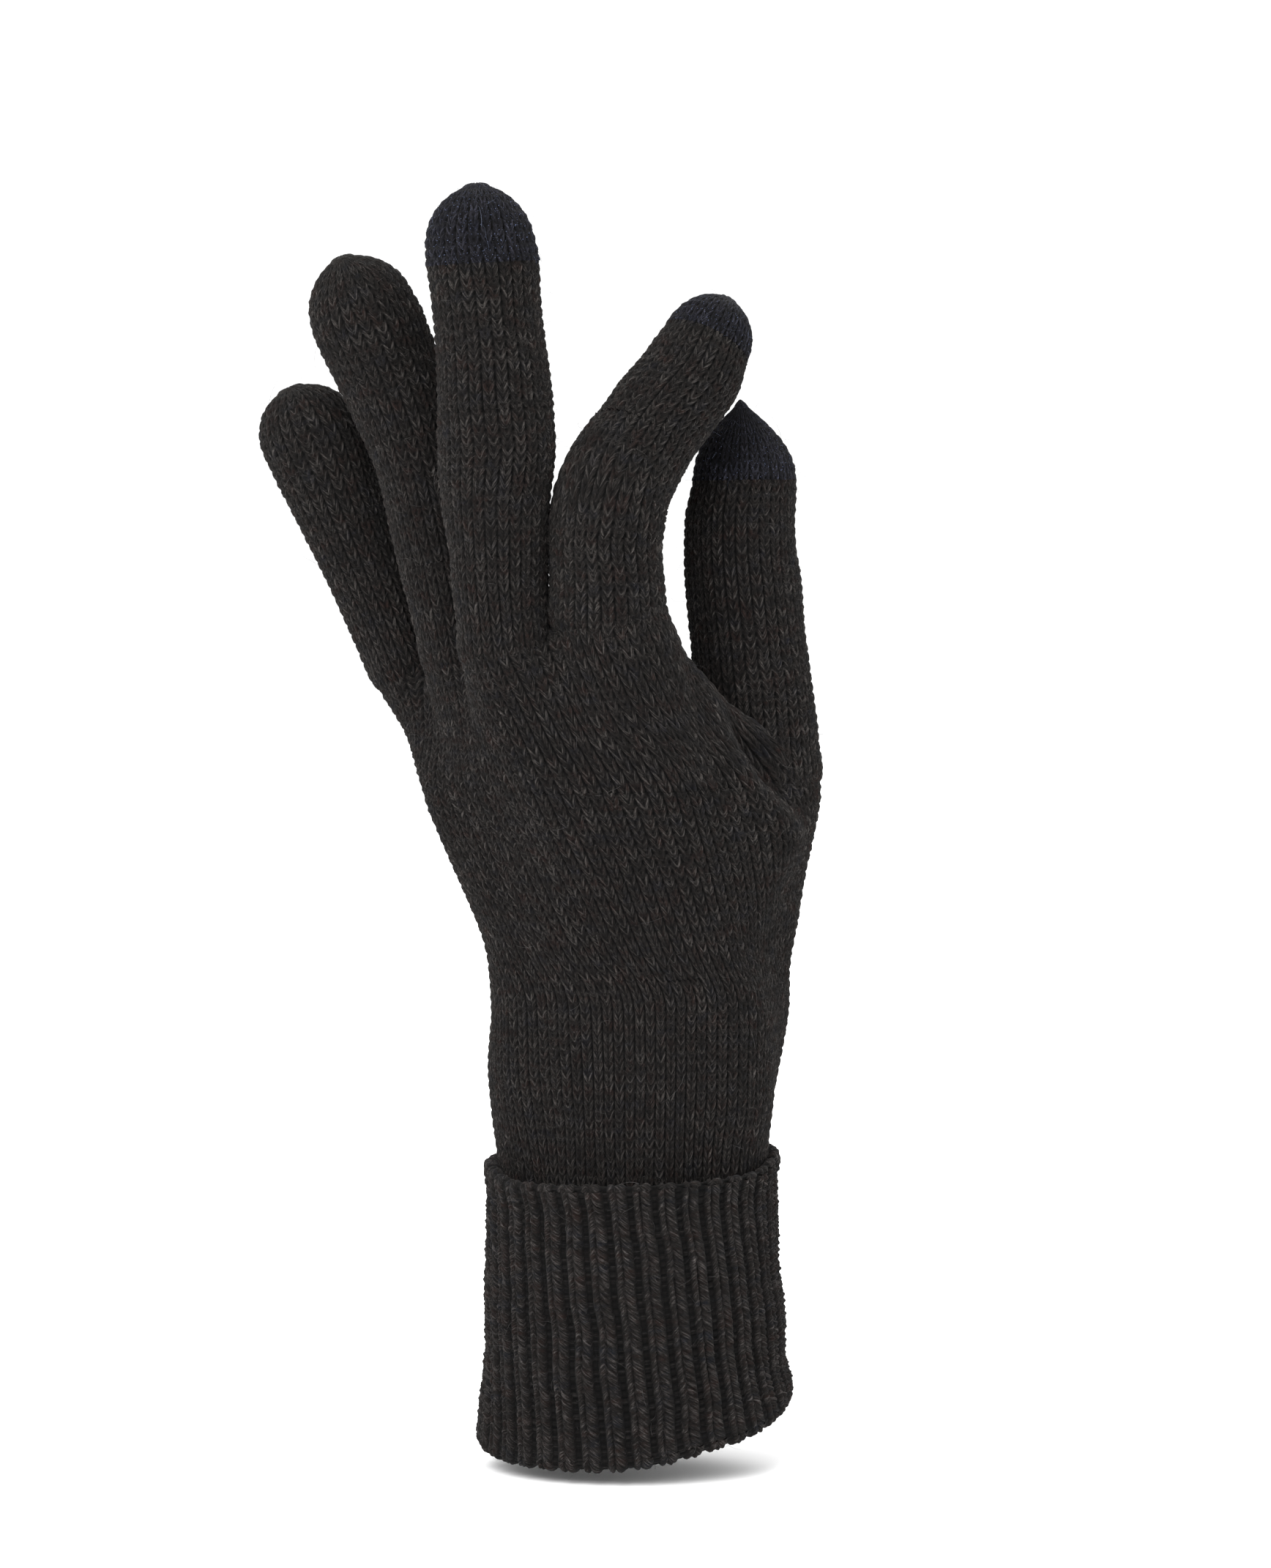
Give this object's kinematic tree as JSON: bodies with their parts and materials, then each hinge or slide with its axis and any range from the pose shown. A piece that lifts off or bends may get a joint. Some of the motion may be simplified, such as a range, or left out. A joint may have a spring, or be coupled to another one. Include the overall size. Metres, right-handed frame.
{
  "type": "touchscreen glove",
  "caption": "Long knitted left-hand glove in dark wool blend, with a turned-up ribbed cuff and conductive navy fingertips on thumb, index and middle finger.",
  "frame": {"origin": "centre of the arm opening, level with the lowest point of the cuff's fold", "axes": "+Z from the cuff to the fingertips, +X to the thumb's side, +Y towards the palm's side; the back of the hand faces -Y"},
  "size_m": [0.1153, 0.056, 0.2611],
  "materials": {
    "body_knit": "matt, fuzzy stocking-stitch wool blend",
    "rib_knit": "matt, fuzzy ribbed wool blend",
    "touch_knit": "matt navy conductive yarn with a few glints",
    "tip_seam": "drawn closing stitches"
  },
  "bodies": {
    "cuff": {"cuff_inner_layer": "rib_knit", "cuff_outer_layer": "rib_knit", "cuff_fold": "rib_knit", "cuff_top_edge": "rib_knit", "wrist_sleeve": "body_knit"},
    "hand": {"hand_heel": "body_knit", "hand_palm": "body_knit", "thumb_gusset": "body_knit", "index_root": "body_knit", "middle_root": "body_knit", "ring_root": "body_knit", "little_root": "body_knit"},
    "index_base": {"index_base_stall": "body_knit"},
    "index_middle": {"index_middle_stall": "body_knit"},
    "index_end": {"index_end_stall": "body_knit", "index_touch_tip": "touch_knit", "index_tip_closure": "tip_seam"},
    "middle_base": {"middle_base_stall": "body_knit"},
    "middle_middle": {"middle_middle_stall": "body_knit"},
    "middle_end": {"middle_end_stall": "body_knit", "middle_touch_tip": "touch_knit", "middle_tip_closure": "tip_seam"},
    "ring_base": {"ring_base_stall": "body_knit"},
    "ring_middle": {"ring_middle_stall": "body_knit"},
    "ring_end": {"ring_end_stall": "body_knit", "ring_tip_closure": "tip_seam"},
    "little_base": {"little_base_stall": "body_knit"},
    "little_middle": {"little_middle_stall": "body_knit"},
    "little_end": {"little_end_stall": "body_knit", "little_tip_closure": "tip_seam"},
    "thumb_base": {"thumb_base_stall": "body_knit"},
    "thumb_end": {"thumb_end_stall": "body_knit", "thumb_touch_tip": "touch_knit", "thumb_tip_closure": "tip_seam"}
  },
  "joints": [
    {"name": "wrist_bend", "type": "hinge", "parent": "cuff", "child": "hand", "pos_m": [0.0006, 0, 0.0825], "axis": [-0.9781, 0.2079, 0], "range_deg": [-35, 45]},
    {"name": "index_knuckle", "type": "hinge", "parent": "hand", "child": "index_base", "pos_m": [-0.00401, -0.011, 0.17983], "axis": [-0.7184, 0.6938, 0.0502], "range_deg": [-15, 2]},
    {"name": "index_middle_joint", "type": "hinge", "parent": "index_base", "child": "index_middle", "pos_m": [-0.00272, -0.011, 0.19829], "axis": [-0.7184, 0.6938, 0.0502], "range_deg": [-34, 2]},
    {"name": "index_end_joint", "type": "hinge", "parent": "index_middle", "child": "index_end", "pos_m": [0.00812, -0.00109, 0.21651], "axis": [-0.7184, 0.6938, 0.0502], "range_deg": [-11, 1]},
    {"name": "middle_knuckle", "type": "hinge", "parent": "hand", "child": "middle_base", "pos_m": [-0.02659, -0.01, 0.17383], "axis": [-0.8644, 0.4991, -0.0604], "range_deg": [-12, 45]},
    {"name": "middle_middle_joint", "type": "hinge", "parent": "middle_base", "child": "middle_middle", "pos_m": [-0.0284, -0.01, 0.19976], "axis": [-0.8644, 0.4991, -0.0604], "range_deg": [-2, 60]},
    {"name": "middle_end_joint", "type": "hinge", "parent": "middle_middle", "child": "middle_end", "pos_m": [-0.03008, -0.00903, 0.2317], "axis": [-0.8644, 0.4991, -0.0604], "range_deg": [-2, 41]},
    {"name": "ring_knuckle", "type": "hinge", "parent": "hand", "child": "ring_base", "pos_m": [-0.03803, 0.0053, 0.17079], "axis": [-0.8559, 0.4551, -0.2454], "range_deg": [-10, 45]},
    {"name": "ring_middle_joint", "type": "hinge", "parent": "ring_base", "child": "ring_middle", "pos_m": [-0.04376, 0.00812, 0.196], "axis": [-0.8559, 0.4551, -0.2454], "range_deg": [0, 60]},
    {"name": "ring_end_joint", "type": "hinge", "parent": "ring_middle", "child": "ring_end", "pos_m": [-0.0512, 0.00812, 0.22195], "axis": [-0.8559, 0.4551, -0.2454], "range_deg": [0, 41]},
    {"name": "little_knuckle", "type": "hinge", "parent": "hand", "child": "little_base", "pos_m": [-0.04963, 0.018, 0.1675], "axis": [-0.8517, 0.3792, -0.3615], "range_deg": [-10, 45]},
    {"name": "little_middle_joint", "type": "hinge", "parent": "little_base", "child": "little_middle", "pos_m": [-0.05485, 0.01943, 0.18128], "axis": [-0.8517, 0.3792, -0.3615], "range_deg": [0, 55]},
    {"name": "little_end_joint", "type": "hinge", "parent": "little_middle", "child": "little_end", "pos_m": [-0.06221, 0.01884, 0.19802], "axis": [-0.8517, 0.3792, -0.3615], "range_deg": [0, 37]},
    {"name": "thumb_base_joint", "type": "hinge", "parent": "hand", "child": "thumb_base", "pos_m": [0.02601, 0.017, 0.14795], "axis": [0.5291, -0.8467, 0.0556], "range_deg": [-20, 2]},
    {"name": "thumb_end_joint", "type": "hinge", "parent": "thumb_base", "child": "thumb_end", "pos_m": [0.02277, 0.017, 0.17878], "axis": [0.5291, -0.8467, 0.0556], "range_deg": [-20, 2]}
  ],
  "couplings": [
    {"joint": "index_end_joint", "follows": "index_middle_joint", "ratio": 0.3},
    {"joint": "middle_end_joint", "follows": "middle_middle_joint", "ratio": 0.67},
    {"joint": "ring_end_joint", "follows": "ring_middle_joint", "ratio": 0.67},
    {"joint": "little_end_joint", "follows": "little_middle_joint", "ratio": 0.67}
  ]
}
